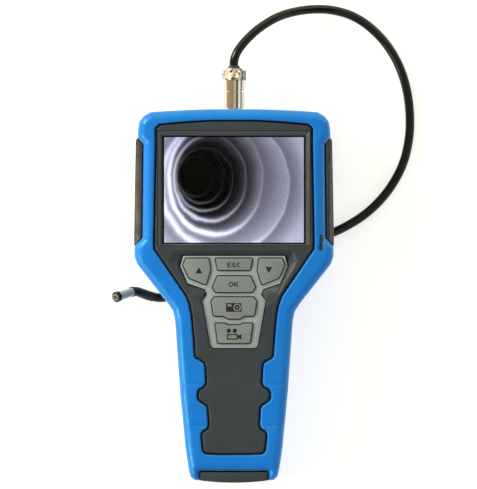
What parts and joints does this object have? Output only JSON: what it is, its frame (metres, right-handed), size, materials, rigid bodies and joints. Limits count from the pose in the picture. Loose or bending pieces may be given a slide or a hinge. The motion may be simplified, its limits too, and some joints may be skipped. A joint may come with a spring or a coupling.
{
  "type": "inspection camera",
  "caption": "Handheld inspection camera: colour screen and keypad in a rubber boot, with a plug-in flexible camera probe on a threaded connector.",
  "frame": {"origin": "under the middle of the screen unit with its socket, on the table it lies on", "axes": "+Y along the unit towards the probe socket, +Z out of the screen, +X to the right of the screen"},
  "size_m": [0.1543, 0.2433, 0.042],
  "materials": {
    "boot_rubber": "satin, moulded",
    "case_plastic": "fine spark-eroded texture",
    "grip_rubber": "satin",
    "seal_rubber": "satin",
    "screw_steel": "satin",
    "frame_plastic": "satin",
    "window_acrylic": "polished",
    "screen_picture": "lit picture",
    "sheet_steel": "satin",
    "flex_film": "smooth",
    "keypad_plastic": "satin",
    "key_plastic": "satin",
    "dome_silicone": "matt",
    "circuit_board": "solder mask",
    "chip_plastic": "matt",
    "status_lens": "polished",
    "lamp_resin": "clear resin",
    "cell_jacket": "printed film",
    "contact_brass": "plated",
    "plated_metal": "nickel plated",
    "wire_jacket": "satin",
    "tube_rubber": "gloss",
    "sleeve_rubber": "satin",
    "barrel_steel": "satin",
    "tip_plastic": "satin",
    "lens_glass": "coated"
  },
  "bodies": {
    "housing": {"rubber_boot": "boot_rubber", "front_casing": "case_plastic", "rear_cover": "case_plastic", "left_grip": "grip_rubber", "right_grip": "grip_rubber", "case_gasket": "seal_rubber", "case_screws": "screw_steel", "window_frame": "frame_plastic", "screen_window": "window_acrylic", "lcd_panel": "screen_picture", "lcd_bracket": "sheet_steel", "flat_cable": "flex_film", "keypad_plate": "keypad_plastic", "dome_sheet": "dome_silicone", "key_board": "circuit_board", "main_board": "circuit_board", "board_chips": "chip_plastic", "board_screws": "screw_steel", "status_window": "status_lens", "status_lamp": "lamp_resin", "switch_body": "chip_plastic", "usb_port": "sheet_steel", "card_slot": "sheet_steel", "memory_card": "chip_plastic", "hinge_pin": "screw_steel", "battery_tray": "case_plastic", "battery_cells": "cell_jacket", "battery_springs": "screw_steel", "battery_contacts": "contact_brass", "probe_socket": "plated_metal", "socket_gasket": "seal_rubber", "socket_lock_nut": "plated_metal", "socket_insert": "chip_plastic", "socket_pins": "contact_brass", "socket_wires": "wire_jacket", "plug_shell": "plated_metal", "plug_insert": "chip_plastic", "plug_contacts": "contact_brass", "cable_clamp": "plated_metal", "clamp_screws": "screw_steel", "plug_boot": "seal_rubber", "probe_tube": "tube_rubber", "head_sleeve": "sleeve_rubber", "camera_barrel": "barrel_steel", "tip_ring": "tip_plastic", "lens_window": "lens_glass", "tip_leds": "lamp_resin", "image_sensor": "chip_plastic"},
    "key_up": {"key_up": "key_plastic"},
    "key_down": {"key_down": "key_plastic"},
    "key_escape": {"key_escape": "key_plastic"},
    "key_ok": {"key_ok": "key_plastic"},
    "key_photo": {"key_photo": "key_plastic"},
    "key_video": {"key_video": "key_plastic"},
    "power_switch": {"power_switch": "chip_plastic"},
    "port_cover": {"port_cover": "boot_rubber"},
    "battery_cap": {"battery_cap": "case_plastic"},
    "coupling_nut": {"coupling_nut": "plated_metal"}
  },
  "joints": [
    {"name": "key_up_press", "type": "slide", "parent": "housing", "child": "key_up", "axis": [0, 0, -1], "range_m": [0, 0.0008], "stiffness_N_per_m": 1200, "springref_m": -0.0003},
    {"name": "key_down_press", "type": "slide", "parent": "housing", "child": "key_down", "axis": [0, 0, -1], "range_m": [0, 0.0008], "stiffness_N_per_m": 1200, "springref_m": -0.0003},
    {"name": "key_escape_press", "type": "slide", "parent": "housing", "child": "key_escape", "axis": [0, 0, -1], "range_m": [0, 0.0008], "stiffness_N_per_m": 1200, "springref_m": -0.0003},
    {"name": "key_ok_press", "type": "slide", "parent": "housing", "child": "key_ok", "axis": [0, 0, -1], "range_m": [0, 0.0008], "stiffness_N_per_m": 1200, "springref_m": -0.0003},
    {"name": "key_photo_press", "type": "slide", "parent": "housing", "child": "key_photo", "axis": [0, 0, -1], "range_m": [0, 0.0008], "stiffness_N_per_m": 1200, "springref_m": -0.0003},
    {"name": "key_video_press", "type": "slide", "parent": "housing", "child": "key_video", "axis": [0, 0, -1], "range_m": [0, 0.0008], "stiffness_N_per_m": 1200, "springref_m": -0.0003},
    {"name": "power_switch_slide", "type": "slide", "parent": "housing", "child": "power_switch", "axis": [1, 0, 0], "range_m": [0, 0.005]},
    {"name": "port_cover_hinge", "type": "hinge", "parent": "housing", "child": "port_cover", "pos_m": [-0.025, 0.0893, 0.0137], "axis": [-1, 0, 0], "range_deg": [0, 90]},
    {"name": "battery_cap_slide", "type": "slide", "parent": "housing", "child": "battery_cap", "axis": [0, -1, 0], "range_m": [0, 0.012]},
    {"name": "coupling_nut_turn", "type": "hinge", "parent": "housing", "child": "coupling_nut", "pos_m": [0, 0.0962, 0.022], "axis": [0, 1, 0], "continuous": true}
  ]
}
